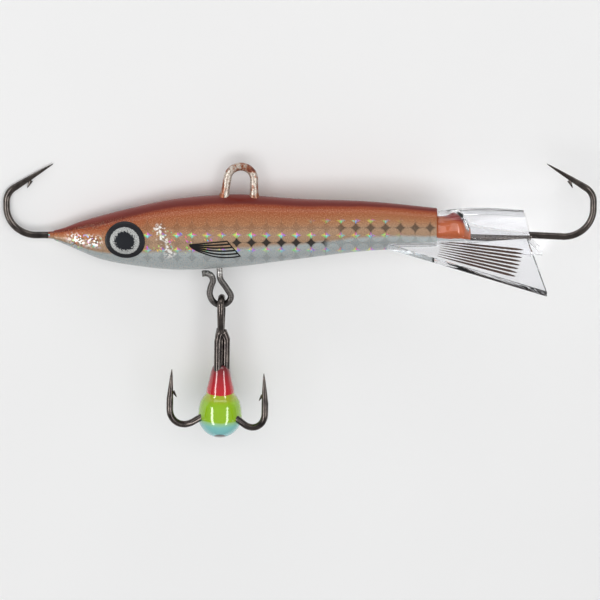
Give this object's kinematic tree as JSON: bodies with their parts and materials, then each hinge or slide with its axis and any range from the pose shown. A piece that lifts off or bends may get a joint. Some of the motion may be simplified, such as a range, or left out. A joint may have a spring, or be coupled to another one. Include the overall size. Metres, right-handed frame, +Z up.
{
  "type": "ice fishing jig",
  "caption": "Painted lead fish jig with a hook at each end, a clear plastic tail fin, a wire line tie on its back and a small treble hook with an enamelled bead under its belly.",
  "frame": {"origin": "centre of the bounding box in plan, on the surface that the jig lies on", "axes": "+X from nose to tail, +Y towards the fish's back, +Z up out of its left side, which faces up as the jig lies on its right side"},
  "size_m": [0.0766, 0.0372, 0.0182],
  "materials": {
    "painted_lead": "gloss",
    "black_nickel": "polished",
    "coated_wire": "satin",
    "enamel": "gloss",
    "clear_plastic": "gloss",
    "eye_foil": "gloss"
  },
  "bodies": {
    "root": {"body": "painted_lead", "nose_hook": "black_nickel", "tail_hook": "black_nickel", "line_tie_wire": "coated_wire", "treble_hook": "black_nickel", "treble_bead": "enamel", "tail_fin": "clear_plastic", "eye_left": "eye_foil", "eye_right": "eye_foil"}
  },
  "joints": []
}
